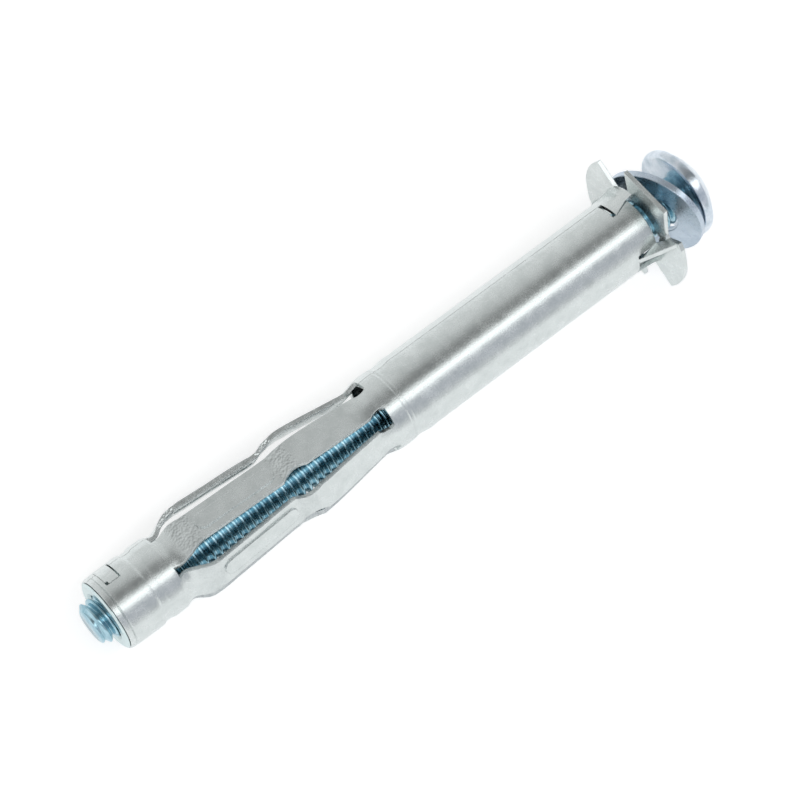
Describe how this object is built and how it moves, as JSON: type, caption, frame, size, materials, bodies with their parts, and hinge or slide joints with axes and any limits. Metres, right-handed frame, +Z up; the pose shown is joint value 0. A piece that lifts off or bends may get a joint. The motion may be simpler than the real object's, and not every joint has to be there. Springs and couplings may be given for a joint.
{
  "type": "hollow wall anchor",
  "caption": "Metal hollow wall anchor: a slotted sheet sleeve with folding legs and a clawed collar, a nut swaged in its far end, a loose washer and a mushroom-head machine screw",
  "frame": {"origin": "centre of the bounding box in plan, on the ground the anchor lies on", "axes": "+X along the screw towards its head, rising two degrees, +Z up, +Y sideways"},
  "size_m": [0.0648, 0.0124, 0.0112],
  "materials": {
    "sleeve_zinc": "satin bright zinc",
    "nut_zinc": "satin zinc",
    "washer_zinc": "satin blue zinc",
    "screw_zinc": "satin blue passivated zinc"
  },
  "bodies": {
    "anchor": {"sleeve": "sleeve_zinc", "nut": "nut_zinc"},
    "washer": {"washer": "washer_zinc"},
    "screw": {"screw": "screw_zinc"}
  },
  "joints": [
    {"name": "washer_slide", "type": "slide", "parent": "anchor", "child": "washer", "axis": [0.9994, 0, 0.0349], "range_m": [0, 0.0042]},
    {"name": "screw_turn", "type": "hinge", "parent": "washer", "child": "screw", "pos_m": [0.01428, 0, 0.00519], "axis": [0.9994, 0, 0.0349], "range_deg": [0, 2160]}
  ],
  "couplings": [
    {"joint": "screw_turn", "follows": "washer_slide", "rad_per_m": 8976}
  ]
}
